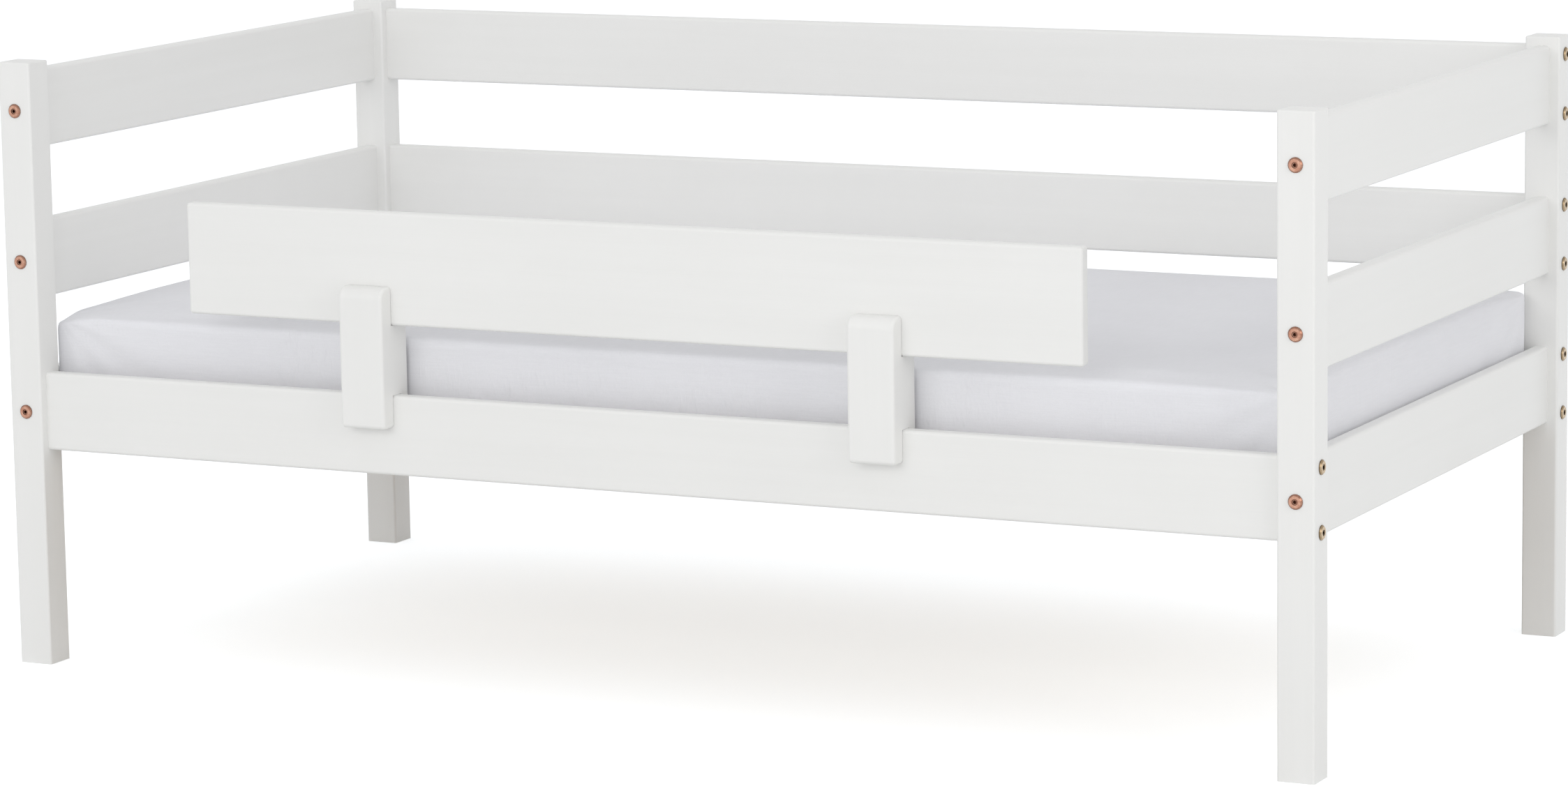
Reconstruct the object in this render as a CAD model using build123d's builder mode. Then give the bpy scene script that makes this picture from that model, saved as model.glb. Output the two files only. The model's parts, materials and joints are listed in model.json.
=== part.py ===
from build123d import *
import math
import os

# A toddler bed with a clip-on guard, in millimetres.
# The floor is z = 0 and the bed's middle is x = y = 0. +X runs along the bed to its right end, as seen
# from the front, +Y runs to the back and +Z is up.

# Posts and the bed's size over them
bed_length = 1680.0
bed_width = 876.0
post_width = 44.0
post_depth = 42.0
post_edge_radius = 3.0
post_top_radius = 2.0
post_rise = 11.0  # the posts' tops over the top boards

# Boards of the ends, the back and the two side rails
board_thickness = 18.0
board_height = 95.0
board_gap = 88.0  # between one board and the next
board_edge_radius = 4.0
floor_clearance = 264.0  # floor to the lowest boards

# Guard board and its H-shaped brackets
guard_length = 1153.0
guard_height = 133.0
guard_offset = -11.5  # the guard's middle along X
guard_edge_radius = 4.0
bracket_spacing = 657.0
bracket_width = 58.0
bracket_core_height = 82.8  # between the rail and the guard board
front_cheek = 22.0
rear_cheek = 18.0
lower_slot_depth = 38.0
upper_slot_depth = 46.0
bracket_top_radius = 14.0
bracket_edge_radius = 5.0
bracket_side_radius = 4.0
slot_clearance = 0.4  # each side of the rail and of the guard board
seat_clearance = 0.2  # under each piece that lifts off its seat

# Slats and the ledgers that carry them
slat_count = 14
slat_width = 60.0
slat_thickness = 14.0
slat_edge_radius = 2.0
slat_end_gap = 3.0  # slat to rail
slat_bracket_gap = 10.0  # slats to the brackets' rear cheeks
ledger_depth = 20.0
ledger_margin = 3.0  # ledger to the rail's lower edge
ledger_edge_radius = 2.0
ledger_nut_gap = 12.0  # ledger to the rail's nuts

# Mattress
mattress_thickness = 113.0  # at its edges
mattress_crown = 5.0
mattress_crown_run = 260.0  # how far in from the edge the crown climbs
crown_profile = [(0.2, 0.45), (0.5, 0.8), (1.0, 1.0)]  # share of the run, share of the crown
mattress_corner_radius = 20.0
mattress_edge_radius = 12.0
mattress_edge_steps = 4
mattress_draw = 4.0  # how far the sides pull in between the corners
mattress_end_gap = 4.0  # to the end boards
mattress_side_gap = 3.0  # to the rear posts and to the brackets

# Bolts, barrel nuts and dowels
bolt_diameter = 6.0
bolt_hole_diameter = 7.0
bolt_head_diameter = 17.0
bolt_head_height = 2.6
bolt_head_chamfer = 1.8
bolt_head_dish_diameter = 7.0
bolt_head_dish_depth = 0.6
socket_across_flats = 4.0
socket_depth = 4.0
bolt_past_nut = 8.0
bolt_hole_spare = 2.0  # past the bolt's tip
bolt_edge_distance = 11.5  # a paired bolt to its board's edge
nut_diameter = 10.0
nut_cover = 2.0  # wood beyond the nut, and the nut's depth below the face
nut_setback = 30.0  # from the board's end
nut_slot_width = 1.4
nut_slot_depth = 1.5
nut_clearance = 0.1
dowel_diameter = 8.0
dowel_in_post = 14.0
dowel_in_board = 24.0
dowel_chamfer = 0.8
dowel_clearance = 0.05
dowel_hole_spare = 1.0

# Wood screws
screw_diameter = 4.0
screw_head_diameter = 8.0
screw_head_height = 2.4
screw_tip_length = 4.0
screw_recess_width = 0.9
screw_recess_length = 4.2
screw_recess_depth = 1.4
screw_clearance = 0.05
ledger_screw_bite = 12.0  # into the rail
slat_screw_bite = 16.0  # into the ledger

# Places that follow from these sizes
post_x = (bed_length - post_width) / 2
post_y = (bed_width - post_depth) / 2
end_board_length = bed_width - 2 * post_depth
side_board_length = bed_length - 2 * post_width
level_pitch = board_height + board_gap
level_names = ["lower", "middle", "top"]
level_heights = [floor_clearance + board_height / 2 + step * level_pitch for step in range(len(level_names))]
bed_height = level_heights[-1] + board_height / 2 + post_rise
rail_top = floor_clearance + board_height
rail_inner_y = post_y - board_thickness / 2

bolt_pair_offset = board_height / 2 - bolt_edge_distance
dowel_offset = bolt_pair_offset / 2
nut_length = board_thickness - 2 * nut_cover
nut_hole_depth = board_thickness - nut_cover
bolt_hole_depth = nut_setback + bolt_past_nut + bolt_hole_spare

core_bottom = rail_top + seat_clearance
core_top = core_bottom + bracket_core_height
guard_bottom = core_top + seat_clearance
cheek_bottom = core_bottom - lower_slot_depth
cheek_top = core_top + upper_slot_depth
front_slot_y = -post_y - board_thickness / 2 - slot_clearance
rear_slot_y = -post_y + board_thickness / 2 + slot_clearance
bracket_front_y = front_slot_y - front_cheek
bracket_rear_y = rear_slot_y + rear_cheek

slat_top = cheek_bottom - slat_bracket_gap
slat_bottom = slat_top - slat_thickness
ledger_bottom = floor_clearance + ledger_margin
ledger_height = slat_bottom - ledger_bottom
ledger_length = side_board_length - 2 * (nut_setback + ledger_nut_gap)
slat_length = 2 * (rail_inner_y - slat_end_gap)
slat_pitch = (ledger_length - slat_width) / (slat_count - 1)
slat_places = [(step - (slat_count - 1) / 2) * slat_pitch for step in range(slat_count)]
slat_screw_y = rail_inner_y - ledger_depth / 2
ledger_screw_places = [place + slat_pitch / 2 for place in slat_places[:-1:2]]

mattress_bottom = slat_top + seat_clearance
mattress_top = mattress_bottom + mattress_thickness
mattress_length = bed_length - post_width - board_thickness - 2 * mattress_end_gap
mattress_front_y = bracket_rear_y + mattress_side_gap
mattress_rear_y = post_y - post_depth / 2 - mattress_side_gap
mattress_width = mattress_rear_y - mattress_front_y
mattress_middle_y = (mattress_front_y + mattress_rear_y) / 2

# Which rails and back boards meet the front posts (-1) and the rear posts (+1)
side_boards = [
    ("front_side_rail", -1, level_heights[0]),
    ("rear_side_rail", 1, level_heights[0]),
    ("back_middle_board", 1, level_heights[1]),
    ("back_top_board", 1, level_heights[2]),
]
ends = [("left", -1), ("right", 1)]
sides = [("front", -1), ("rear", 1)]
pair_offsets = [-bolt_pair_offset, bolt_pair_offset]
dowel_offsets = [-dowel_offset, dowel_offset]


def save(builder, name):
    """Label a finished piece and write it to its own file."""
    builder.part.label = name
    export_step(builder.part, f"parts/{name}.step")


def make_bolt(length):
    """A bolt along Z with the underside of its head at z = 0 and its head above."""
    with BuildPart() as bolt:
        with BuildSketch():
            Circle(bolt_diameter / 2)
        extrude(amount=-length)
        with BuildSketch():
            Circle(bolt_head_diameter / 2)
        extrude(amount=bolt_head_height)
        chamfer(bolt.faces().sort_by(Axis.Z)[-1].edges(), length=bolt_head_chamfer)
        with BuildSketch(Plane.XY.offset(bolt_head_height)):
            Circle(bolt_head_dish_diameter / 2)
        extrude(amount=-bolt_head_dish_depth, mode=Mode.SUBTRACT)
        with BuildSketch(Plane.XY.offset(bolt_head_height)):
            RegularPolygon(socket_across_flats / 2, 6, major_radius=False)
        extrude(amount=-socket_depth, mode=Mode.SUBTRACT)
    return bolt.part


def make_screw(length, clearance=0.0):
    """A countersunk screw along Z with its head's top at z = 0, or with a clearance the hole for one."""
    head_radius = screw_head_diameter / 2 + clearance
    shank_radius = screw_diameter / 2 + clearance
    tip = length + clearance
    with BuildPart() as screw:
        with BuildSketch(Plane.XZ):
            with BuildLine():
                Polyline(
                    (0, 0),
                    (head_radius, 0),
                    (shank_radius, -screw_head_height),
                    (shank_radius, -tip + screw_tip_length),
                    (0, -tip),
                    close=True,
                )
            make_face()
        revolve(axis=Axis.Z)
        if clearance == 0:
            with BuildSketch():
                Rectangle(screw_recess_length, screw_recess_width)
                Rectangle(screw_recess_width, screw_recess_length)
            extrude(amount=-screw_recess_depth, mode=Mode.SUBTRACT)
    return screw.part


def mattress_section(height, inset):
    """The mattress's outline at one height, with its four sides pulled in between round corners."""
    half_length = mattress_length / 2 - inset
    half_width = mattress_width / 2 - inset
    side_x = half_length - mattress_corner_radius
    side_y = half_width - mattress_corner_radius
    turn = mattress_corner_radius * math.sqrt(0.5)
    with BuildSketch(Plane((0, mattress_middle_y, height))) as section:
        with BuildLine():
            for way in (1, -1):
                x, y = way * side_x, way * side_y
                end_x, end_y = way * half_length, way * half_width
                draw = way * mattress_draw
                bend = way * turn
                ThreePointArc((-x, end_y), (0, end_y - draw), (x, end_y))
                ThreePointArc((x, end_y), (x + bend, y + bend), (end_x, y))
                ThreePointArc((end_x, y), (end_x - draw, 0), (end_x, -y))
                ThreePointArc((end_x, -y), (x + bend, -y - bend), (x, -end_y))
        make_face()
    return section.sketch.face()


os.makedirs("parts", exist_ok=True)

# Where the fasteners go: each plane looks outwards from the face that the fastener sits on
end_bolt_planes = [
    Plane((end * post_x, side * bed_width / 2, height), z_dir=(0, side, 0))
    for _, end in ends
    for _, side in sides
    for height in level_heights
]
side_bolt_planes = [
    Plane((end * bed_length / 2, side * post_y, height + offset), z_dir=(end, 0, 0))
    for _, side, height in side_boards
    for _, end in ends
    for offset in pair_offsets
]
end_nut_planes = [
    Plane((end * post_x, side * (end_board_length / 2 - nut_setback), height), (0, 1, 0), (-1, 0, 0))
    for _, end in ends
    for _, side in sides
    for height in level_heights
]
side_nut_planes = [
    Plane((end * (side_board_length / 2 - nut_setback), side * post_y, height + offset), (1, 0, 0), (0, 1, 0))
    for _, side, height in side_boards
    for _, end in ends
    for offset in pair_offsets
]
dowel_planes = [
    Plane((end * post_x, side * end_board_length / 2, height + offset), z_dir=(0, side, 0))
    for _, end in ends
    for _, side in sides
    for height in level_heights
    for offset in dowel_offsets
]
slat_screw_planes = [
    Plane((place, side * slat_screw_y, slat_top))
    for place in slat_places
    for _, side in sides
]
ledger_screw_planes = [
    Plane((place, side * (rail_inner_y - ledger_depth), ledger_bottom + ledger_height / 2), z_dir=(0, -side, 0))
    for place in ledger_screw_places
    for _, side in sides
]
slat_screw = make_screw(slat_thickness + slat_screw_bite)
slat_screw_hole = make_screw(slat_thickness + slat_screw_bite, screw_clearance)
ledger_screw = make_screw(ledger_depth + ledger_screw_bite)
ledger_screw_hole = make_screw(ledger_depth + ledger_screw_bite, screw_clearance)

# Posts
for side_name, side in sides:
    for end_name, end in ends:
        x, y = end * post_x, side * post_y
        rail_heights = [height for _, rail_side, height in side_boards if rail_side == side]
        with BuildPart() as post:
            with BuildSketch(Plane((x, y, 0))):
                RectangleRounded(post_width, post_depth, post_edge_radius)
            extrude(amount=bed_height)
            fillet(post.faces().sort_by(Axis.Z)[-1].edges(), radius=post_top_radius)
            with Locations(*(Plane((x, y, height), z_dir=(0, side, 0)) for height in level_heights)):
                Hole(bolt_hole_diameter / 2, post_depth)
            with Locations(
                *(
                    Plane((x, y, height + offset), z_dir=(end, 0, 0))
                    for height in rail_heights
                    for offset in pair_offsets
                )
            ):
                Hole(bolt_hole_diameter / 2, post_width)
            with Locations(
                *(
                    Plane((x, y - side * post_depth / 2, height + offset), z_dir=(0, side, 0))
                    for height in level_heights
                    for offset in dowel_offsets
                )
            ):
                Hole(dowel_diameter / 2 + dowel_clearance, dowel_in_post + dowel_hole_spare)
        save(post, f"{side_name}_{end_name}_post")

# End boards, with nut holes that open to the left
for end_name, end in ends:
    for level_name, height in zip(level_names, level_heights):
        x = end * post_x
        with BuildPart() as end_board:
            with BuildSketch(Plane((x, 0, height), x_dir=(1, 0, 0), z_dir=(0, 1, 0))):
                RectangleRounded(board_thickness, board_height, board_edge_radius)
            extrude(amount=end_board_length / 2, both=True)
            for _, side in sides:
                end_y = side * end_board_length / 2
                nut_y = end_y - side * nut_setback
                with Locations(Plane((x, end_y, height), z_dir=(0, side, 0))):
                    Hole(bolt_hole_diameter / 2, bolt_hole_depth)
                with Locations(*(Plane((x, end_y, height + dz), z_dir=(0, side, 0)) for dz in dowel_offsets)):
                    Hole(dowel_diameter / 2 + dowel_clearance, dowel_in_board + dowel_hole_spare)
                with Locations(Plane((x - board_thickness / 2, nut_y, height), z_dir=(-1, 0, 0))):
                    Hole(nut_diameter / 2 + nut_clearance, nut_hole_depth)
        save(end_board, f"{end_name}_{level_name}_board")

# Side rails and back boards, with nut holes that open to the back
for name, side, height in side_boards:
    y = side * post_y
    with BuildPart() as side_board:
        with BuildSketch(Plane((0, y, height), x_dir=(0, 1, 0), z_dir=(1, 0, 0))):
            RectangleRounded(board_thickness, board_height, board_edge_radius)
        extrude(amount=side_board_length / 2, both=True)
        for _, end in ends:
            end_x = end * side_board_length / 2
            nut_x = end_x - end * nut_setback
            with Locations(*(Plane((end_x, y, height + dz), z_dir=(end, 0, 0)) for dz in pair_offsets)):
                Hole(bolt_hole_diameter / 2, bolt_hole_depth)
            with Locations(
                *(Plane((nut_x, y + board_thickness / 2, height + dz), z_dir=(0, 1, 0)) for dz in pair_offsets)
            ):
                Hole(nut_diameter / 2 + nut_clearance, nut_hole_depth)
        if height == level_heights[0]:
            with Locations(*(plane for plane in ledger_screw_planes if plane.origin.Y * side > 0)):
                add(ledger_screw_hole, mode=Mode.SUBTRACT)
    save(side_board, name)

# Ledgers on the two rails
for side_name, side in sides:
    ledger_y = side * (rail_inner_y - ledger_depth / 2)
    with BuildPart() as ledger:
        with BuildSketch(Plane((0, ledger_y, ledger_bottom + ledger_height / 2), (0, 1, 0), (1, 0, 0))):
            Rectangle(ledger_depth, ledger_height)
        extrude(amount=ledger_length / 2, both=True)
        inner_edges = ledger.edges().filter_by(Axis.X).sort_by(Axis.Y)
        fillet(inner_edges[:2] if side > 0 else inner_edges[2:], radius=ledger_edge_radius)
        with Locations(*(plane for plane in ledger_screw_planes if plane.origin.Y * side > 0)):
            add(ledger_screw_hole, mode=Mode.SUBTRACT)
        with Locations(*(plane for plane in slat_screw_planes if plane.origin.Y * side > 0)):
            add(slat_screw_hole, mode=Mode.SUBTRACT)
    save(ledger, f"{side_name}_ledger")

# Slats
for number, place in enumerate(slat_places, start=1):
    with BuildPart() as slat:
        with BuildSketch(Plane((place, 0, slat_bottom + slat_thickness / 2), (1, 0, 0), (0, 1, 0))):
            RectangleRounded(slat_width, slat_thickness, slat_edge_radius)
        extrude(amount=slat_length / 2, both=True)
        with Locations(*(Plane((place, side * slat_screw_y, slat_top)) for _, side in sides)):
            add(slat_screw_hole, mode=Mode.SUBTRACT)
    save(slat, f"slat_{number:02d}")

# Guard board
with BuildPart() as guard_board:
    with Locations((guard_offset, -post_y, guard_bottom + guard_height / 2)):
        Box(guard_length, board_thickness, guard_height)
    fillet(guard_board.edges(), radius=guard_edge_radius)
save(guard_board, "guard_board")

# Guard brackets: an H-shaped profile with its lower slot over the rail and its upper slot round the guard
for end_name, end in ends:
    x = guard_offset + end * bracket_spacing / 2
    with BuildPart() as bracket:
        with BuildSketch(Plane((x, 0, 0), x_dir=(0, 1, 0), z_dir=(1, 0, 0))) as profile:
            with BuildLine():
                Polyline(
                    (bracket_front_y, cheek_bottom),
                    (front_slot_y, cheek_bottom),
                    (front_slot_y, core_bottom),
                    (rear_slot_y, core_bottom),
                    (rear_slot_y, cheek_bottom),
                    (bracket_rear_y, cheek_bottom),
                    (bracket_rear_y, cheek_top),
                    (rear_slot_y, cheek_top),
                    (rear_slot_y, core_top),
                    (front_slot_y, core_top),
                    (front_slot_y, cheek_top),
                    (bracket_front_y, cheek_top),
                    close=True,
                )
            make_face()
            fillet(profile.vertices().group_by(Axis.X)[-1], radius=bracket_edge_radius)
            fillet(profile.vertices().group_by(Axis.X)[0].sort_by(Axis.Y)[0], radius=bracket_edge_radius)
            fillet(profile.vertices().group_by(Axis.X)[0].sort_by(Axis.Y)[-1], radius=bracket_top_radius)
        extrude(amount=bracket_width / 2, both=True)
        outline = bracket.faces().filter_by(Axis.X).edges()
        outer_edges = outline.filter_by(
            lambda edge: not front_slot_y - 0.01 < edge.center().Y < rear_slot_y + 0.01
        )
        fillet(outer_edges, radius=bracket_side_radius)
    save(bracket, f"guard_bracket_{end_name}")

# Mattress: rounded lower and upper edges, then a low crown
edge_angles = [math.radians(90 * step / mattress_edge_steps) for step in range(mattress_edge_steps + 1)]
edge_profile = [
    (mattress_edge_radius * (1 - math.cos(angle)), mattress_edge_radius * (1 - math.sin(angle)))
    for angle in edge_angles
]
mattress_sections = [mattress_section(mattress_bottom + rise, inset) for rise, inset in edge_profile]
mattress_sections += [mattress_section(mattress_top - rise, inset) for rise, inset in reversed(edge_profile)]
mattress_sections += [
    mattress_section(mattress_top + share * mattress_crown, mattress_edge_radius + run * mattress_crown_run)
    for run, share in crown_profile
]
with BuildPart() as mattress:
    loft(mattress_sections, ruled=True)
save(mattress, "mattress")

# Bolts
with BuildPart() as end_bolts:
    with Locations(*end_bolt_planes):
        add(make_bolt(post_depth + nut_setback + bolt_past_nut))
save(end_bolts, "end_bolts")

with BuildPart() as side_bolts:
    with Locations(*side_bolt_planes):
        add(make_bolt(post_width + nut_setback + bolt_past_nut))
save(side_bolts, "side_bolts")

# Barrel nuts, with a slot in the end that shows and a cross hole for the bolt
with BuildPart() as nut:
    Cylinder(nut_diameter / 2, nut_length)
    with Locations(Plane.YZ):
        Hole(bolt_diameter / 2 + nut_clearance, nut_diameter)
    with BuildSketch(Plane.XY.offset(nut_length / 2)):
        Rectangle(nut_diameter, nut_slot_width)
    extrude(amount=-nut_slot_depth, mode=Mode.SUBTRACT)

with BuildPart() as end_nuts:
    with Locations(*end_nut_planes):
        add(nut.part)
save(end_nuts, "end_nuts")

with BuildPart() as side_nuts:
    with Locations(*side_nut_planes):
        add(nut.part)
save(side_nuts, "side_nuts")

# Dowels beside the end bolts
with BuildPart() as dowel:
    with BuildSketch(Plane.XY.offset(-dowel_in_board)):
        Circle(dowel_diameter / 2)
    extrude(amount=dowel_in_board + dowel_in_post)
    chamfer(dowel.edges().filter_by(GeomType.CIRCLE), length=dowel_chamfer)

with BuildPart() as end_dowels:
    with Locations(*dowel_planes):
        add(dowel.part)
save(end_dowels, "end_dowels")

# Screws
with BuildPart() as slat_screws:
    with Locations(*slat_screw_planes):
        add(slat_screw)
save(slat_screws, "slat_screws")

with BuildPart() as ledger_screws:
    with Locations(*ledger_screw_planes):
        add(ledger_screw)
save(ledger_screws, "ledger_screws")
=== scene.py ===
import json
import math

import bmesh
import bpy
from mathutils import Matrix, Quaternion, Vector, noise
from mathutils.bvhtree import BVHTree


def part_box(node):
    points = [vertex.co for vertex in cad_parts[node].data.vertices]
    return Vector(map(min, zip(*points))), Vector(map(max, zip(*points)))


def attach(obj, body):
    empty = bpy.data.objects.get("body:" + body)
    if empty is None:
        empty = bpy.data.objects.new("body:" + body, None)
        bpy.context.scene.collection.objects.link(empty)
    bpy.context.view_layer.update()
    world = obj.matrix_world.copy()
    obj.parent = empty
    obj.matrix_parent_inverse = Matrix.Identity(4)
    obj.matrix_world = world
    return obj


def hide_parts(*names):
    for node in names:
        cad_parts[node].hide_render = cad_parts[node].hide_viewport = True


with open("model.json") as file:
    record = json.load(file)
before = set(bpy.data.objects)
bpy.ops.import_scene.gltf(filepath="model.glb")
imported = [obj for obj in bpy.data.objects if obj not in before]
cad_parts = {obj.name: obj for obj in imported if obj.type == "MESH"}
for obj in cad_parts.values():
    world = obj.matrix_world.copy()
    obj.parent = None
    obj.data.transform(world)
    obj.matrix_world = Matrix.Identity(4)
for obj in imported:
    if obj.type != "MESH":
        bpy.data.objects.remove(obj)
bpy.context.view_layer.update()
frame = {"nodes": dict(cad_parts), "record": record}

# Camera, from the photograph's edges
camera_place = Vector((2.8598, -5.8206, 1.3861))
camera_aim = Vector((-0.0206, 0.0195, 0.3104))
camera_roll = math.radians(-0.9)
camera_lens_mm = 124.08
camera_sensor_mm = 36.0

# Light and stage
sky_horizon = 0.69  # strength
sky_zenith = 0.77
sky_colour = (0.99, 0.992, 1.0, 1)
key_place = Vector((-0.4, -6.4, 2.6))
key_size = (5.0, 2.8)
key_power = 93.5
key_colour = (1.0, 0.995, 0.985)
fill_place = Vector((4.6, -1.6, 1.9))
fill_size = (2.6, 2.0)
fill_power = 34.0
fill_colour = (1.0, 0.98, 0.955)
light_aim = Vector((0.0, 0.0, 0.35))
floor_size = 60.0
floor_colour = (0.832, 0.838, 0.843, 1)
floor_glow = 0.56  # added to what the camera sees of the floor, so that only the shadow isn't white
floor_glow_colour = (0.93, 0.97, 1.0, 1)  # evens out the warm light from under the pine slats

# Finishes: a grain gives how close a pattern is along and across a piece, per metre, and a depth is in metres
usual_noise = (0.3, 0.7)  # where most of a noise's values lie
paint_colours = ((0.838, 0.838, 0.822, 1), (0.856, 0.856, 0.841, 1))
paint_grain = (1.6, 46.0)
paint_pores = (18.0, 620.0)
paint_cloud = 5.0
paint_stipple = 850.0
paint_tone = (0.75, 1.25)  # grain and cloud together, from the darker colour to the lighter one
paint_depths = {"grain": 0.00022, "pores": 0.00004, "stipple": 0.00003}
paint_roughness = (0.36, 0.5)
paint_gloss = 0.45
pine_early_wood = ((0.68, 0.48, 0.27, 1), (0.77, 0.59, 0.37, 1))
pine_late_wood = ((0.50, 0.29, 0.13, 1), (0.62, 0.41, 0.22, 1))
pine_knot_colour = (0.24, 0.12, 0.05, 1)
pine_trunk = (0.8, 15.0)
pine_rings = 26.0  # over the trunk noise's whole range
pine_ring_edge = (0.35, 0.97)  # where a ring starts to darken, and where it is darkest
pine_late_share = 0.7
pine_fibre = (9.0, 560.0)
pine_cloud = (2.0, 11.0)
pine_knots = (2.6, 8.0)
pine_knot_edge = (0.04, 0.09)
pine_depths = {"rings": 0.00004, "fibre": 0.00008}
pine_roughness = (0.5, 0.66)
beech_colours = ((0.52, 0.33, 0.19, 1), (0.66, 0.46, 0.30, 1))
beech_flecks = (60.0, 700.0)
beech_depth = 0.0001
beech_roughness = (0.5, 0.65)
plating_patches = 260.0
plating_scratches = (300.0, 2600.0, 900.0)
plating_scratch_depth = 0.00003
shade_search_reach = 0.012  # how far a point of the metal looks round for nearby surfaces, which set where shade is painted into its hollows
# where the painted shade is full, and where it ends, by the share of the metal left open
painted_shade_edge = (0.80, 0.98)
cotton_slubs = (30.0, 700.0)
cotton_cloud = 7.0
cotton_tone = (1.1, 1.9)
cotton_roughness = (0.82, 0.95)
cotton_wander = 0.6  # how far its threads stray from straight lines
crumple_grain = (42.0, 190.0)  # upright and across
crumple_edge = (0.46, 0.78)
crumple_patches = 9.0
crumple_patch_edge = (0.42, 0.62)
crumple_slope = (0.4, 0.9)  # a normal's rise, from where there are crumples to where there are none
cotton_sheen = 0.15
cotton_sheen_roughness = 0.6
cotton_gloss = 0.2

# Mattress
edge_round = 0.010  # radius of its long edges
corner_round = {(-1, -1): 0.004, (1, -1): 0.010, (-1, 1): 0.012, (1, 1): 0.018}  # by the signs of x and y
corner_drop = {(-1, -1): 0.008, (1, -1): 0.004, (-1, 1): 0.002, (1, 1): 0.0}
corner_top_round = 0.007  # how far down the round of the top goes at a corner
corner_round_reach = 0.11
corner_drop_reach = 0.05
close_width = 0.020  # beside the edges, where the mesh is close
close_rows = 6
close_growth = 1.5  # the power by which these rows widen away from the edge
mattress_mesh = 0.014  # mesh size elsewhere
mattress_crown = 0.006
mattress_rear_rise = 0.005  # the rear edge of the top above the front edge
mattress_draw = 0.002  # how far the sides pull in between the corners
resting_height = 0.001
swell_pressure = 4.0
swell_slack = 0.006  # spare cloth, as a share of its length
swell_frames = 20
swell_quality = 6
swell_mass = 0.3
swell_stiffness = 15.0
swell_bending = 0.4
swell_cap = 0.005  # the most that a point may move outwards
shrink_cap = 0.0004  # and inwards
slide_cap = 0.002  # and along the surface
least_slope = 0.05  # of a normal, below which a side of the room doesn't stop a point

# Fitted sheet: waves, bends and gathers follow noise, and a pitch is how close it is, per metre
hem_room = 0.003  # under the sheet, for its hem
core_depth = 0.004  # the mattress's ticking under the sheet
wave_depth = 0.0010
wave_pitch = Vector((4.0, 5.0, 5.0))
drag_depth = 0.0016  # of the lines that run out from the corners
drag_lines = 15.0
drag_start = 0.05  # from the corner to where they are deepest
drag_reach = 0.30
drag_bend = 2.2
drag_bend_pitch = 8.0
top_slope = (0.3, 0.95)  # a normal's rise, from the lines of the sides to the lines of the top
gather_depth = 0.0008
gather_pitch = Vector((34.0, 34.0, 4.0))
gather_height = 0.06  # from the bottom to where the gathers end
gather_fade = 0.05
sheet_reach = 0.090  # how far the sheet goes in under the mattress
underside_slope = -0.9  # the normal's rise on faces that lie under the mattress
hem_round_steps = 24
hem_round_share = 0.5
hem_step = 0.0022  # between the rings of its mesh
hem_half_width = 0.006
hem_half_thickness = 0.0008
hem_height = 2.6 * hem_half_thickness  # its middle above the slats
hem_gather_length = 0.011
hem_sway = 0.0012  # from side to side along the gathers
hem_crowd_pitch = 14.0  # crowding makes the gathers uneven
hem_crowd_turn = 2.5
hem_crowd_width = 0.16
hem_pleat_thickness = 0.5
seam_step = 0.003
seam_half_width = 0.0014
seam_half_thickness = 0.0007
seam_search = 0.05  # outside the corner, where the search for the sheet starts
seam_end_share = 0.4  # of its full size, at its two ends
seam_end_rings = 3
ring_points = 8

mattress_low, mattress_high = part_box("mattress")


# Node trees

def add_node(tree, kind, inputs=None, **settings):
    """Adds a node, sets its properties and sets or links its inputs."""
    node = tree.nodes.new(kind)
    for name, value in settings.items():
        setattr(node, name, value)
    for name, value in (inputs or {}).items():
        if isinstance(value, bpy.types.NodeSocket):
            tree.links.new(value, node.inputs[name])
        else:
            node.inputs[name].default_value = value
    return node


def new_material(name):
    """A node material and its Principled shader."""
    material = bpy.data.materials.new(name)
    material.use_nodes = True
    return material, material.node_tree, material.node_tree.nodes["Principled BSDF"]


def place_on_piece(tree, scale=(1, 1, 1)):
    """Coordinates that stay on the piece as it moves, stretched by scale."""
    coordinates = add_node(tree, "ShaderNodeTexCoord").outputs["Object"]
    mapping = add_node(tree, "ShaderNodeMapping", {"Vector": coordinates, "Scale": scale})
    return mapping.outputs["Vector"]


def grain_scale(axis, along, across):
    """A stretch with long features along one axis, 0 to 2."""
    return [along if index == axis else across for index in range(3)]


def noise_at(tree, place, scale, detail=2.0, roughness=0.5, distortion=0.0):
    """A noise texture's value."""
    inputs = {"Vector": place, "Scale": scale, "Detail": detail}
    inputs |= {"Roughness": roughness, "Distortion": distortion}
    return add_node(tree, "ShaderNodeTexNoise", inputs).outputs["Fac"]


def grain_noise(tree, axis, grain, detail=2.0, roughness=0.5, distortion=0.0):
    """A noise with long features along one axis, from its closeness along and across that axis."""
    return noise_at(tree, place_on_piece(tree, grain_scale(axis, *grain)), 1.0, detail, roughness, distortion)


def remap(tree, value, low, high, to_low, to_high):
    """A value taken from one range to another, kept within it."""
    inputs = {"Value": value, "From Min": low, "From Max": high, "To Min": to_low, "To Max": to_high}
    return add_node(tree, "ShaderNodeMapRange", inputs).outputs["Result"]


def combine(tree, operation, first, second):
    """Two values put together by a Math node."""
    node = add_node(tree, "ShaderNodeMath", operation=operation)
    for socket, value in zip(node.inputs, (first, second)):
        if isinstance(value, bpy.types.NodeSocket):
            tree.links.new(value, socket)
        else:
            socket.default_value = value
    return node.outputs["Value"]


def blend_colours(tree, factor, first, second):
    """A colour between two others."""
    node = add_node(tree, "ShaderNodeMix", data_type="RGBA")
    for socket, value in zip((node.inputs[0], node.inputs[6], node.inputs[7]), (factor, first, second)):
        if isinstance(value, bpy.types.NodeSocket):
            tree.links.new(value, socket)
        else:
            socket.default_value = value
    return node.outputs[2]


def bump_with(tree, height, depth, strength=1.0, under=None):
    """A bumped normal: height from 0 to 1 stands for depth metres."""
    inputs = {"Height": height, "Distance": depth, "Strength": strength}
    if under is not None:
        inputs["Normal"] = under
    return add_node(tree, "ShaderNodeBump", inputs).outputs["Normal"]


# Materials

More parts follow.
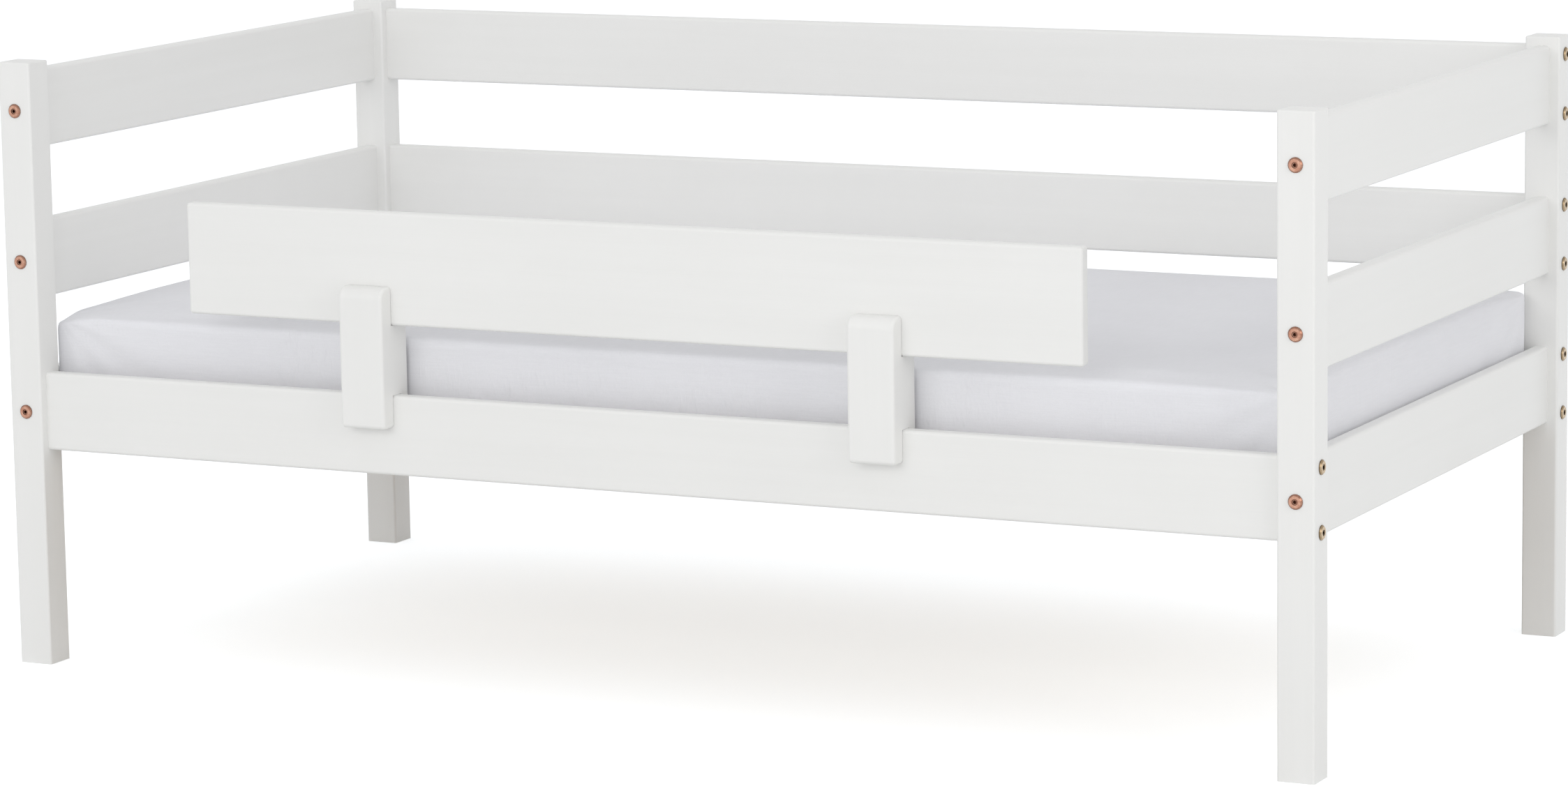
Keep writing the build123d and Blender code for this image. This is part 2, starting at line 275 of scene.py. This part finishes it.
def white_paint(name, axis):
    """Satin white paint: wood grain showing faintly through, roller stipple and a little cloudiness."""
    material, tree, surface = new_material(name)
    place = place_on_piece(tree)
    grain = grain_noise(tree, axis, paint_grain, detail=5.0, roughness=0.6, distortion=0.4)
    pores = grain_noise(tree, axis, paint_pores)
    cloud = noise_at(tree, place, paint_cloud, detail=3.0)
    stipple = noise_at(tree, place, paint_stipple)
    tone = remap(tree, combine(tree, "ADD", grain, cloud), *paint_tone, 0.0, 1.0)
    tree.links.new(blend_colours(tree, tone, *paint_colours), surface.inputs["Base Color"])
    tree.links.new(remap(tree, cloud, *usual_noise, *paint_roughness), surface.inputs["Roughness"])
    normal = bump_with(tree, grain, paint_depths["grain"])
    normal = bump_with(tree, pores, paint_depths["pores"], under=normal)
    normal = bump_with(tree, stipple, paint_depths["stipple"], under=normal)
    tree.links.new(normal, surface.inputs["Normal"])
    surface.inputs["Specular IOR Level"].default_value = paint_gloss
    return material


def bare_pine(name, axis):
    """Planed pine: growth rings cut along the piece, each darkening to its edge, knots and open grain."""
    material, tree, surface = new_material(name)
    trunk = grain_noise(tree, axis, pine_trunk, detail=1.5, roughness=0.4)
    ring = combine(tree, "FRACT", combine(tree, "MULTIPLY", trunk, pine_rings), 0.0)
    dark_edge = remap(tree, ring, *pine_ring_edge, 0.0, 1.0)
    fibre = grain_noise(tree, axis, pine_fibre, detail=3.0)
    cloud = grain_noise(tree, axis, pine_cloud)
    cells = {"Vector": place_on_piece(tree, grain_scale(axis, *pine_knots)), "Scale": 1.0}
    knot_distance = add_node(tree, "ShaderNodeTexVoronoi", cells).outputs["Distance"]
    knot = remap(tree, knot_distance, *pine_knot_edge, 1.0, 0.0)
    early = blend_colours(tree, cloud, *pine_early_wood)
    late = blend_colours(tree, fibre, *pine_late_wood)
    wood = blend_colours(tree, combine(tree, "MULTIPLY", dark_edge, pine_late_share), early, late)
    tree.links.new(blend_colours(tree, knot, wood, pine_knot_colour), surface.inputs["Base Color"])
    tree.links.new(remap(tree, fibre, *usual_noise, *pine_roughness), surface.inputs["Roughness"])
    normal = bump_with(tree, dark_edge, pine_depths["rings"])
    normal = bump_with(tree, fibre, pine_depths["fibre"], under=normal)
    tree.links.new(normal, surface.inputs["Normal"])
    return material


def beech_dowel(name, axis):
    """Turned beech: fine flecks along the dowel."""
    material, tree, surface = new_material(name)
    fleck = grain_noise(tree, axis, beech_flecks, detail=3.0)
    tree.links.new(blend_colours(tree, fleck, *beech_colours), surface.inputs["Base Color"])
    tree.links.new(remap(tree, fleck, *usual_noise, *beech_roughness), surface.inputs["Roughness"])
    tree.links.new(bump_with(tree, fleck, beech_depth), surface.inputs["Normal"])
    return material


def plated_metal(name, painted_hollow_shade, dull, bright, roughness):
    """Plated metal: painted shade darkens it on its bevels and in its hollows, where nearby surfaces close it
    in, with patchy tarnish and fine scratches.
    """
    material, tree, surface = new_material(name)
    patch = noise_at(tree, place_on_piece(tree), plating_patches, detail=4.0)
    scratch = noise_at(tree, place_on_piece(tree, plating_scratches), 1.0)
    polished = blend_colours(tree, remap(tree, patch, *usual_noise, 0.0, 1.0), dull, bright)
    # painted shade: an ambient-occlusion mask blends in the dark shade colour wherever nearby surfaces close
    # the metal in
    unshaded_share = add_node(tree, "ShaderNodeAmbientOcclusion", {"Distance": shade_search_reach}).outputs["AO"]
    colour = blend_colours(tree, remap(tree, unshaded_share, *painted_shade_edge, 0.0, 1.0), painted_hollow_shade, polished)
    tree.links.new(colour, surface.inputs["Base Color"])
    tree.links.new(remap(tree, scratch, *usual_noise, *roughness), surface.inputs["Roughness"])
    tree.links.new(bump_with(tree, scratch, plating_scratch_depth), surface.inputs["Normal"])
    surface.inputs["Metallic"].default_value = 1.0
    return material


def side_crumples(tree, place):
    """Small upright crumples, in patches and on the sides alone, from 0 to 1."""
    facing = add_node(tree, "ShaderNodeTexCoord").outputs["Normal"]
    rise = add_node(tree, "ShaderNodeSeparateXYZ", {"Vector": facing}).outputs["Z"]
    on_side = remap(tree, combine(tree, "ABSOLUTE", rise, 0.0), *crumple_slope, 1.0, 0.0)
    patches = remap(tree, noise_at(tree, place, crumple_patches), *crumple_patch_edge, 0.0, 1.0)
    creases = remap(tree, grain_noise(tree, 2, crumple_grain, distortion=0.3), *crumple_edge, 0.0, 1.0)
    return combine(tree, "MULTIPLY", combine(tree, "MULTIPLY", creases, patches), on_side)


def woven_cotton(name, shade, light, thread, slub_depth, crumple_depth):
    """Plain woven cotton: crossing sets of threads, slubs, crumples on the sides and a soft sheen."""
    material, tree, surface = new_material(name)
    place = place_on_piece(tree)
    bands = {"Vector": place, "Scale": thread, "Distortion": cotton_wander, "Detail": 1.0}
    waves = [add_node(tree, "ShaderNodeTexWave", bands, bands_direction=direction) for direction in "XYZ"]
    threads = [wave.outputs["Fac"] for wave in waves]
    weave = combine(tree, "ADD", combine(tree, "ADD", threads[0], threads[1]), threads[2])
    slubs = [grain_noise(tree, axis, cotton_slubs) for axis in range(2)]
    slub = combine(tree, "ADD", *slubs)
    cloud = noise_at(tree, place, cotton_cloud, detail=3.0)
    tone = remap(tree, combine(tree, "ADD", slub, cloud), *cotton_tone, 0.0, 1.0)
    tree.links.new(blend_colours(tree, tone, shade, light), surface.inputs["Base Color"])
    tree.links.new(remap(tree, weave, 0.0, len(threads), *cotton_roughness), surface.inputs["Roughness"])
    normal = bump_with(tree, slub, slub_depth)
    normal = bump_with(tree, weave, slub_depth / 2, under=normal)
    normal = bump_with(tree, side_crumples(tree, place), crumple_depth, under=normal)
    tree.links.new(normal, surface.inputs["Normal"])
    surface.inputs["Sheen Weight"].default_value = cotton_sheen
    surface.inputs["Sheen Roughness"].default_value = cotton_sheen_roughness
    surface.inputs["Specular IOR Level"].default_value = cotton_gloss
    return material


paint_along = [white_paint(f"white_paint_{letter}", axis) for axis, letter in enumerate("xyz")]
pine_along = [bare_pine(f"bare_pine_{letter}", axis) for axis, letter in enumerate("xyz")]
beech = beech_dowel("beech_turned", axis=1)
# The first colour of each plating is painted shade, put in its hollows and on its bevels
copper = plated_metal(
    "copper_plated",
    painted_hollow_shade=(0.10, 0.04, 0.025, 1),
    dull=(0.40, 0.19, 0.13, 1),
    bright=(0.56, 0.33, 0.24, 1),
    roughness=(0.20, 0.36),
)
brass = plated_metal(
    "brass_plated",
    painted_hollow_shade=(0.09, 0.06, 0.03, 1),
    dull=(0.38, 0.27, 0.16, 1),
    bright=(0.55, 0.43, 0.29, 1),
    roughness=(0.20, 0.36),
)
zinc = plated_metal(
    "zinc_plated",
    painted_hollow_shade=(0.10, 0.10, 0.11, 1),
    dull=(0.42, 0.43, 0.45, 1),
    bright=(0.60, 0.61, 0.62, 1),
    roughness=(0.30, 0.46),
)
cotton = woven_cotton(
    "cotton_sheet",
    shade=(0.855, 0.857, 0.89, 1),
    light=(0.895, 0.897, 0.93, 1),
    thread=900.0,
    slub_depth=0.00008,
    crumple_depth=0.0006,
)
ticking = woven_cotton(
    "mattress_ticking",
    shade=(0.70, 0.68, 0.63, 1),
    light=(0.78, 0.76, 0.71, 1),
    thread=420.0,
    slub_depth=0.00016,
    crumple_depth=0.0003,
)
hem_cotton = woven_cotton(
    "cotton_hem",
    shade=(0.80, 0.80, 0.84, 1),
    light=(0.85, 0.85, 0.89, 1),
    thread=700.0,
    slub_depth=0.0001,
    crumple_depth=0.0002,
)


# CAD nodes: wood grain runs along a piece's longest side

def longest_axis(node):
    """The axis, 0 to 2, along which a node is longest."""
    low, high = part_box(node)
    size = high - low
    return max(range(3), key=lambda axis: size[axis])


def cad_material(node, slot):
    """The material for a CAD node by its slot in the record."""
    if slot == "white_paint":
        return paint_along[longest_axis(node)]
    if slot == "bare_pine":
        return pine_along[longest_axis(node)]
    if slot == "brass_plate":
        return copper if node == "end_bolts" else brass
    return {"beech": beech, "zinc_steel": zinc, "bedding": cotton}[slot]


for subpart in frame["record"]["subparts"]:
    node_mesh = frame["nodes"][subpart["node"]].data
    node_mesh.materials.clear()
    node_mesh.materials.append(cad_material(subpart["node"], subpart["material_slot"]))


# Mesh helpers

def mesh_object(name, mesh, material):
    """A new object in the scene, smooth shaded."""
    piece = bpy.data.objects.new(name, mesh)
    bpy.context.scene.collection.objects.link(piece)
    mesh.materials.clear()
    mesh.materials.append(material)
    mesh.polygons.foreach_set("use_smooth", [True] * len(mesh.polygons))
    return piece


def evaluated_mesh(piece):
    """A copy of a piece's mesh with its modifiers applied."""
    depsgraph = bpy.context.evaluated_depsgraph_get()
    return bpy.data.meshes.new_from_object(piece.evaluated_get(depsgraph))


def apply_modifiers(piece):
    """Puts the modified mesh in place of a piece's own, and drops the modifiers."""
    mesh = evaluated_mesh(piece)
    piece.modifiers.clear()
    piece.data = mesh


def ease(value, low, high):
    """0 below low, 1 above high, smooth between."""
    share = min(max((value - low) / (high - low), 0.0), 1.0)
    return share * share * (3 - 2 * share)


# Mattress

mattress_middle = (mattress_low + mattress_high) / 2
mattress_half = (mattress_high - mattress_low) / 2
form_low = mattress_low + Vector((0, 0, hem_room))
form_high = mattress_high - Vector((0, 0, mattress_crown))


def keep_in_room(point):
    """A point of the bedding, kept inside the space that the CAD mattress holds and above the hem."""
    lowest = mattress_low + Vector((0, 0, 2 * hem_half_thickness))
    return Vector(min(max(value, low), high) for value, low, high in zip(point, lowest, mattress_high))


def mesh_lines(low, high):
    """Where the mesh lines cross one side: close together on the round edges, even between them."""
    close = [close_width * (row / close_rows) ** close_growth for row in range(close_rows)]
    even_low, even_high = low + close_width, high - close_width
    count = round((even_high - even_low) / mattress_mesh)
    even = [even_low + (even_high - even_low) * row / count for row in range(count + 1)]
    return [low + gap for gap in close] + even + [high - gap for gap in reversed(close)]


def corner_of(point):
    """The signs of x and y at the nearest upright corner of the mattress."""
    return (1 if point.x > mattress_middle.x else -1, 1 if point.y > mattress_middle.y else -1)


def corner_steps(point):
    """How far a point is along x and along y from the nearest upright corner of the mattress."""
    away_x = mattress_half.x - abs(point.x - mattress_middle.x)
    away_y = mattress_half.y - abs(point.y - mattress_middle.y)
    return away_x, away_y


def corner_distance(point):
    """How far a point is from the nearest upright corner of the mattress, seen from above."""
    return math.hypot(*corner_steps(point))


def rounded(place):
    """A point of the form's box, pulled in where the box's edges and corners are round."""
    share = ease(corner_distance(place), 0.0, corner_round_reach)
    flat = corner_round[corner_of(place)] * (1 - share) + edge_round * share
    upright = corner_top_round * (1 - share) + edge_round * share
    radii = (flat, flat, upright)
    inner = Vector(
        min(max(value, low + radius), high - radius)
        for value, low, high, radius in zip(place, form_low, form_high, radii)
    )
    away = Vector(step / radius for step, radius in zip(place - inner, radii)).normalized()
    return inner + Vector(step * radius for step, radius in zip(away, radii))


def mattress_form():
    """The mattress before it swells: a closed box of even quads with round edges."""
    lines = [mesh_lines(low, high) for low, high in zip(form_low, form_high)]
    shell = bmesh.new()
    corners = {}

    def corner(index):
        if index not in corners:
            place = Vector(line[step] for line, step in zip(lines, index))
            corners[index] = shell.verts.new(rounded(place))
        return corners[index]

    for axis in range(3):
        across, up = (axis + 1) % 3, (axis + 2) % 3
        for end in (0, len(lines[axis]) - 1):
            for column in range(len(lines[across]) - 1):
                for row in range(len(lines[up]) - 1):
                    quad = []
                    for right, above in ((0, 0), (1, 0), (1, 1), (0, 1)):
                        index = {axis: end, across: column + right, up: row + above}
                        quad.append(corner((index[0], index[1], index[2])))
                    shell.faces.new(quad if end else reversed(quad))
    mesh = bpy.data.meshes.new("mattress_form")
    shell.to_mesh(mesh)
    shell.free()
    return mesh


def crown_and_draw(mesh):
    """Lifts the top along its middle and rear, lets the corners drop, and draws the sides in between them."""
    for vertex in mesh.vertices:
        across_x = (vertex.co.x - mattress_middle.x) / mattress_half.x
        across_y = (vertex.co.y - mattress_middle.y) / mattress_half.y
        rise = ease(vertex.co.z, mattress_middle.z, form_high.z)
        lift = mattress_crown * (1 - across_y ** 4) + mattress_rear_rise * max(0.0, across_y) ** 4
        near = ease(corner_drop_reach - corner_distance(vertex.co), 0.0, corner_drop_reach)
        drop = corner_drop[corner_of(vertex.co)] * near
        vertex.co.z += (lift - drop) * rise
        vertex.co.x -= mattress_draw * across_x * max(0.0, 1 - across_y ** 2)
        vertex.co.y -= mattress_draw * across_y * max(0.0, 1 - across_x ** 2)


def room_along(place, normal):
    """How far a point can move along a direction inside the space that the CAD mattress holds."""
    room = swell_cap
    for value, step, low, high in zip(place, normal, mattress_low, mattress_high):
        if abs(step) > least_slope:
            room = min(room, ((high if step > 0 else low) - value) / step)
    return max(room, 0.0)


def swell(piece):
    """Blows the form up as slack cloth that is held where it rests, and keeps each point near its start."""
    start = [vertex.co.copy() for vertex in piece.data.vertices]
    outward = [vertex.normal.copy() for vertex in piece.data.vertices]
    resting = piece.vertex_groups.new(name="resting")
    held = [index for index, place in enumerate(start) if place.z < form_low.z + resting_height]
    resting.add(held, 1.0, "REPLACE")
    cloth = piece.modifiers.new("swell", "CLOTH")
    settings = cloth.settings
    settings.quality = swell_quality
    settings.mass = swell_mass
    settings.tension_stiffness = swell_stiffness
    settings.compression_stiffness = swell_stiffness
    settings.bending_stiffness = swell_bending
    settings.shrink_min = -swell_slack
    settings.use_pressure = True
    settings.uniform_pressure_force = swell_pressure
    settings.vertex_group_mass = resting.name
    settings.effector_weights.gravity = 0.0
    cloth.point_cache.frame_start = 1
    cloth.point_cache.frame_end = swell_frames
    for step in range(1, swell_frames + 1):
        bpy.context.scene.frame_set(step)
    apply_modifiers(piece)
    bpy.context.scene.frame_set(1)
    piece.vertex_groups.clear()
    for vertex, place, normal in zip(piece.data.vertices, start, outward):
        move = vertex.co - place
        out = move.dot(normal)
        slide = move - normal * out
        room = room_along(place, normal)
        if out > 0:
            out = room * (1 - math.exp(-out / room)) if room > 0 else 0.0
        out = max(out, -shrink_cap)
        vertex.co = keep_in_room(place + slide.normalized() * min(slide.length, slide_cap) + normal * out)


def make_form():
    """The mattress's outside, swollen."""
    piece = mesh_object("mattress_core", mattress_form(), ticking)
    crown_and_draw(piece.data)
    swell(piece)
    return piece


mattress_core = make_form()


# Fitted sheet

def sheet_ripple(point, normal):
    """How far the sheet sinks at a point: soft waves, drag lines from the corners, gathers near the hem."""
    waves = wave_depth * (0.5 + 0.5 * noise.noise(point * wave_pitch))
    away_x, away_y = corner_steps(point)
    corner = corner_distance(point)
    bend = drag_bend * noise.noise(point * drag_bend_pitch)
    on_top = math.sin(drag_lines * math.atan2(away_y, away_x) + bend)
    on_side = math.sin(drag_lines * math.atan2(form_high.z - point.z, max(away_x, away_y)) + bend)
    top_share = ease(normal.z, *top_slope)
    line = 0.5 + 0.5 * (on_top * top_share + on_side * (1 - top_share))
    drag = drag_depth * line * ease(corner, 0.0, drag_start) * ease(drag_reach - corner, 0.0, drag_reach)
    along = noise.noise(point * gather_pitch)
    gather = gather_depth * (0.5 + 0.5 * along) * ease(form_low.z + gather_height - point.z, 0.0, gather_fade)
    return waves + drag + gather


def make_sheet(form):
    """The sheet: the swollen form, less the middle of its underside, made finer and rippled."""
    mesh = form.data.copy()
    cut = bmesh.new()
    cut.from_mesh(mesh)
    middle = []
    for face in cut.faces:
        away = face.calc_center_median() - mattress_middle
        inside = abs(away.x) < mattress_half.x - sheet_reach and abs(away.y) < mattress_half.y - sheet_reach
        if face.normal.z < underside_slope and inside:
            middle.append(face)
    bmesh.ops.delete(cut, geom=middle, context="FACES")
    for _ in range(hem_round_steps):
        hem = [vertex for vertex in cut.verts if vertex.is_boundary]
        bmesh.ops.smooth_vert(cut, verts=hem, factor=hem_round_share, use_axis_x=True, use_axis_y=True)
    cut.to_mesh(mesh)
    cut.free()
    piece = mesh_object("fitted_sheet", mesh, cotton)
    finer = piece.modifiers.new("finer", "SUBSURF")
    finer.levels = 1
    apply_modifiers(piece)
    normals = [vertex.normal.copy() for vertex in piece.data.vertices]
    for vertex, normal in zip(piece.data.vertices, normals):
        vertex.co = keep_in_room(vertex.co - normal * sheet_ripple(vertex.co, normal))
    return piece


def sink_core(form):
    """Draws the mattress in under its sheet."""
    normals = [vertex.normal.copy() for vertex in form.data.vertices]
    for vertex, normal in zip(form.data.vertices, normals):
        vertex.co -= normal * core_depth
        vertex.co.z = max(vertex.co.z, form_low.z)


def sweep(mesh, rings, closed):
    """Adds a tube to an open mesh: each ring is its middle and its two half axes."""
    loops = []
    for middle, side, up in rings:
        turns = [2 * math.pi * point / ring_points for point in range(ring_points)]
        loops.append([mesh.verts.new(middle + side * math.cos(turn) + up * math.sin(turn)) for turn in turns])
    pairs = list(zip(loops, loops[1:]))
    if closed:
        pairs.append((loops[-1], loops[0]))
    else:
        mesh.faces.new(reversed(loops[0]))
        mesh.faces.new(loops[-1])
    for first, second in pairs:
        for point in range(ring_points):
            after = (point + 1) % ring_points
            mesh.faces.new((first[point], first[after], second[after], second[point]))


def swept_piece(name, tubes, closed):
    """One piece made of swept tubes."""
    shell = bmesh.new()
    for rings in tubes:
        sweep(shell, rings, closed)
    bmesh.ops.recalc_face_normals(shell, faces=shell.faces)
    mesh = bpy.data.meshes.new(name)
    shell.to_mesh(mesh)
    shell.free()
    return mesh_object(name, mesh, hem_cotton)


def hem_line(sheet):
    """The sheet's open edge as a closed line of evenly spaced points."""
    cut = bmesh.new()
    cut.from_mesh(sheet.data)
    edge = next(edge for edge in cut.edges if edge.is_boundary)
    first, vertex = edge.verts
    line = [first.co.copy()]
    while vertex is not first:
        line.append(vertex.co.copy())
        edge = next(other for other in vertex.link_edges if other.is_boundary and other is not edge)
        vertex = edge.other_vert(vertex)
    cut.free()
    length = sum((after - before).length for before, after in zip(line, line[1:] + line[:1]))
    spacing = length / round(length / hem_step)
    points, walked = [], 0.0
    for before, after in zip(line, line[1:] + line[:1]):
        step = (after - before).length
        while walked < step:
            points.append(before.lerp(after, walked / step))
            walked += spacing
        walked -= step
    return points


def make_hem(sheet):
    """The elastic hem: a narrow band along the sheet's edge, drawn up in small gathers."""
    points = hem_line(sheet)
    gathers = round(len(points) * hem_step / hem_gather_length)
    rings = []
    for index, point in enumerate(points):
        ahead = points[(index + 1) % len(points)] - points[index - 1]
        side = Vector((ahead.y, -ahead.x, 0)).normalized()
        phase = 2 * math.pi * gathers * index / len(points)
        crowd = noise.noise(Vector((point.x, point.y, 0)) * hem_crowd_pitch)
        pleat = math.sin(phase + hem_crowd_turn * crowd)
        middle = point + side * hem_sway * pleat
        middle.z = mattress_low.z + hem_height
        half_width = hem_half_width * (1 + hem_crowd_width * crowd)
        half_thickness = hem_half_thickness * (1 + hem_pleat_thickness * pleat)
        rings.append((middle, side * half_width, Vector((0, 0, half_thickness))))
    return swept_piece("sheet_hem", [rings], closed=True)


def make_seams(sheet):
    """The sheet's four corner seams: a low welt down each upright corner."""
    mesh = sheet.data
    places = [vertex.co for vertex in mesh.vertices]
    surface = BVHTree.FromPolygons(places, [list(face.vertices) for face in mesh.polygons])
    tubes = []
    for corner, drop in corner_drop.items():
        outward = Vector((*corner, 0)).normalized()
        around = Vector((-outward.y, outward.x, 0))
        inset = corner_round[corner] / 2
        low, high = form_low.z + inset, form_high.z - drop - inset
        count = round((high - low) / seam_step)
        rings = []
        for step in range(count + 1):
            height = low + (high - low) * step / count
            start = Vector((mattress_middle.x, mattress_middle.y, height))
            start += Vector((corner[0] * mattress_half.x, corner[1] * mattress_half.y, 0))
            start += outward * seam_search
            spot = surface.ray_cast(start, -outward)[0]
            taper = seam_end_share + (1 - seam_end_share) * ease(min(step, count - step), 0, seam_end_rings)
            rings.append((spot, around * seam_half_width * taper, outward * seam_half_thickness * taper))
        tubes.append(rings)
    return swept_piece("sheet_seams", tubes, closed=False)


fitted_sheet = make_sheet(mattress_core)
sink_core(mattress_core)
sheet_hem = make_hem(fitted_sheet)
sheet_seams = make_seams(fitted_sheet)

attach(mattress_core, "mattress")
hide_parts("mattress")
for piece in (fitted_sheet, sheet_hem, sheet_seams):
    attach(piece, "mattress")


# Stage, light and camera

def white_for_the_eye(tree):
    """1 for rays from the camera and for what gloss and glass show, 0 for light on the object."""
    rays = add_node(tree, "ShaderNodeLightPath").outputs
    seen = combine(tree, "MAXIMUM", rays["Is Camera Ray"], rays["Is Glossy Ray"])
    return combine(tree, "MAXIMUM", seen, rays["Is Transmission Ray"])


def make_floor():
    """A plain pale floor that looks white and keeps the bed's soft shadow."""
    half = floor_size / 2
    mesh = bpy.data.meshes.new("floor")
    corners = [(-half, -half, 0), (half, -half, 0), (half, half, 0), (-half, half, 0)]
    mesh.from_pydata(corners, [], [(0, 1, 2, 3)])
    material, tree, surface = new_material("pale_floor")
    surface.inputs["Base Color"].default_value = floor_colour
    surface.inputs["Roughness"].default_value = 1.0
    surface.inputs["Specular IOR Level"].default_value = 0.0
    glow = combine(tree, "MULTIPLY", white_for_the_eye(tree), floor_glow)
    white = add_node(tree, "ShaderNodeEmission", {"Color": floor_glow_colour, "Strength": glow})
    both = add_node(tree, "ShaderNodeAddShader")
    tree.links.new(surface.outputs["BSDF"], both.inputs[0])
    tree.links.new(white.outputs["Emission"], both.inputs[1])
    tree.links.new(both.outputs["Shader"], tree.nodes["Material Output"].inputs["Surface"])
    floor = bpy.data.objects.new("floor", mesh)
    mesh.materials.append(material)
    bpy.context.scene.collection.objects.link(floor)


def make_sky():
    """Even light from all round, seen as white."""
    world = bpy.data.worlds.new("studio")
    world.use_nodes = True
    tree = world.node_tree
    tree.nodes.clear()
    direction = add_node(tree, "ShaderNodeTexCoord").outputs["Generated"]
    height = add_node(tree, "ShaderNodeSeparateXYZ", {"Vector": direction}).outputs["Z"]
    strength = remap(tree, height, 0.0, 1.0, sky_horizon, sky_zenith)
    light = add_node(tree, "ShaderNodeBackground", {"Color": sky_colour, "Strength": strength})
    white = add_node(tree, "ShaderNodeBackground", {"Color": (1.0, 1.0, 1.0, 1), "Strength": 1.0})
    mix = add_node(tree, "ShaderNodeMixShader", {"Fac": white_for_the_eye(tree)})
    tree.links.new(light.outputs["Background"], mix.inputs[1])
    tree.links.new(white.outputs["Background"], mix.inputs[2])
    output = add_node(tree, "ShaderNodeOutputWorld")
    tree.links.new(mix.outputs["Shader"], output.inputs["Surface"])
    bpy.context.scene.world = world


def make_softbox(name, place, size, power, colour):
    """A large soft lamp that faces the bed."""
    lamp = bpy.data.lights.new(name, "AREA")
    lamp.shape = "RECTANGLE"
    lamp.size, lamp.size_y = size
    lamp.energy = power
    lamp.color = colour
    softbox = bpy.data.objects.new(name, lamp)
    softbox.location = place
    softbox.rotation_euler = (light_aim - place).to_track_quat("-Z", "Y").to_euler()
    bpy.context.scene.collection.objects.link(softbox)


def make_camera():
    """The camera at the photograph's place."""
    lens = bpy.data.cameras.new("camera")
    lens.lens = camera_lens_mm
    lens.sensor_fit = "HORIZONTAL"
    lens.sensor_width = camera_sensor_mm
    camera = bpy.data.objects.new("camera", lens)
    camera.location = camera_place
    level = (camera_aim - camera_place).to_track_quat("-Z", "Y")
    camera.rotation_euler = (level @ Quaternion((0, 0, 1), camera_roll)).to_euler()
    bpy.context.scene.collection.objects.link(camera)
    bpy.context.scene.camera = camera


make_floor()
make_sky()
make_softbox("key_light", key_place, key_size, key_power, key_colour)
make_softbox("fill_light", fill_place, fill_size, fill_power, fill_colour)
make_camera()
bpy.context.scene.view_settings.view_transform = "Standard"
